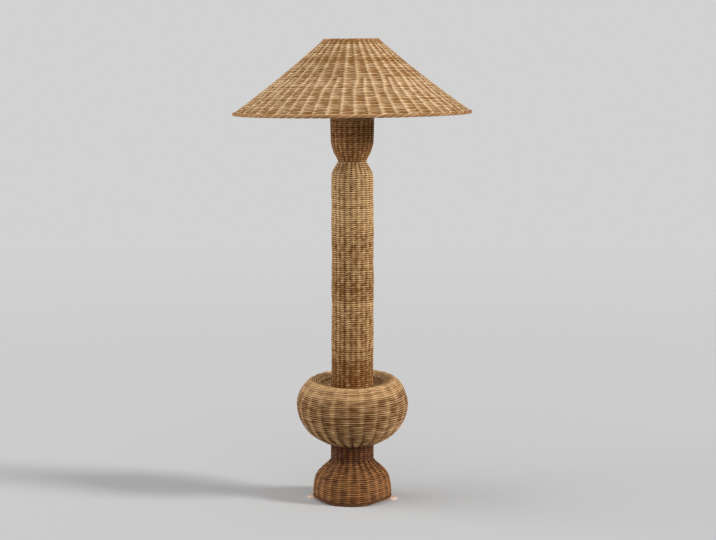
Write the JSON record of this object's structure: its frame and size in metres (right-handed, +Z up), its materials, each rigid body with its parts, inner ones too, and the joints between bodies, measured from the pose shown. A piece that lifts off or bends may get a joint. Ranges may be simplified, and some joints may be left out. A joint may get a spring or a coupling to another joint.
{
  "type": "floor lamp",
  "caption": "Floor lamp of woven rattan: bell base on a wooden slat, globe, tall column, waisted capital, and a wide woven cone shade on a harp over a socket with a bulb.",
  "frame": {"origin": "on the floor under the middle of the base", "axes": "+Z up along the centre pipe, X along the foot slat, -Y towards the front with the switch knob"},
  "size_m": [0.798, 0.7966, 1.5524],
  "materials": {
    "rattan": "matte woven rattan",
    "dark_rattan": "matte plaited rattan, darker",
    "cane": "satin round cane",
    "plywood": "bare plywood",
    "pale_wood": "satin varnish",
    "cast_iron": "rough as cast",
    "zinc_steel": "zinc plated",
    "brass": "satin brass",
    "black_plastic": "moulded, matte",
    "opal_glass": "opal white"
  },
  "bodies": {
    "stand": {"foot_slat": "pale_wood", "slat_screw_1": "zinc_steel", "slat_screw_2": "zinc_steel", "slat_screw_3": "zinc_steel", "slat_screw_4": "zinc_steel", "base_plate": "plywood", "base_weight": "cast_iron", "weight_nut": "zinc_steel", "bottom_washer": "zinc_steel", "bottom_nut": "zinc_steel", "centre_pipe": "zinc_steel", "base_skin": "rattan", "base_border": "dark_rattan", "cord_bushing": "black_plastic", "neck_spacer": "plywood", "globe_skin": "rattan", "globe_hoop": "cane", "crown_spacer": "plywood", "column_skin": "rattan", "waist_spacer": "plywood", "capital_skin": "rattan", "capital_border": "dark_rattan", "capital_spacer": "plywood", "top_washer": "zinc_steel", "harp_saddle": "zinc_steel", "saddle_nut": "zinc_steel", "socket_cap": "brass", "socket_shell": "brass", "socket_body": "black_plastic", "screw_shell": "brass", "centre_contact": "brass", "harp": "brass"},
    "switch_knob": {"switch_knob": "black_plastic"},
    "light_bulb": {"bulb_glass": "opal_glass", "bulb_cap": "zinc_steel", "bulb_contact": "brass"},
    "sleeve_left": {"harp_sleeve_left": "brass"},
    "sleeve_right": {"harp_sleeve_right": "brass"},
    "shade": {"shade_skin": "rattan", "shade_lower_border": "rattan", "shade_top_border": "dark_rattan", "shade_hoop": "cane", "shade_fitter": "zinc_steel"},
    "finial": {"finial": "brass"}
  },
  "joints": [
    {"name": "shade_turn", "type": "hinge", "parent": "stand", "child": "shade", "pos_m": [0, 0, 1.525], "axis": [0, 0, 1], "continuous": true},
    {"name": "finial_turn", "type": "hinge", "parent": "stand", "child": "finial", "pos_m": [0, 0, 1.525], "axis": [0, 0, 1], "continuous": true},
    {"name": "knob_turn", "type": "hinge", "parent": "stand", "child": "switch_knob", "pos_m": [0, -0.028, 1.317], "axis": [0, -1, 0], "continuous": true},
    {"name": "bulb_turn", "type": "hinge", "parent": "stand", "child": "light_bulb", "pos_m": [0, 0, 1.335], "axis": [0, 0, 1], "continuous": true},
    {"name": "sleeve_left_slide", "type": "slide", "parent": "stand", "child": "sleeve_left", "axis": [0, 0, 1], "range_m": [0, 0.017]},
    {"name": "sleeve_right_slide", "type": "slide", "parent": "stand", "child": "sleeve_right", "axis": [0, 0, 1], "range_m": [0, 0.017]}
  ]
}
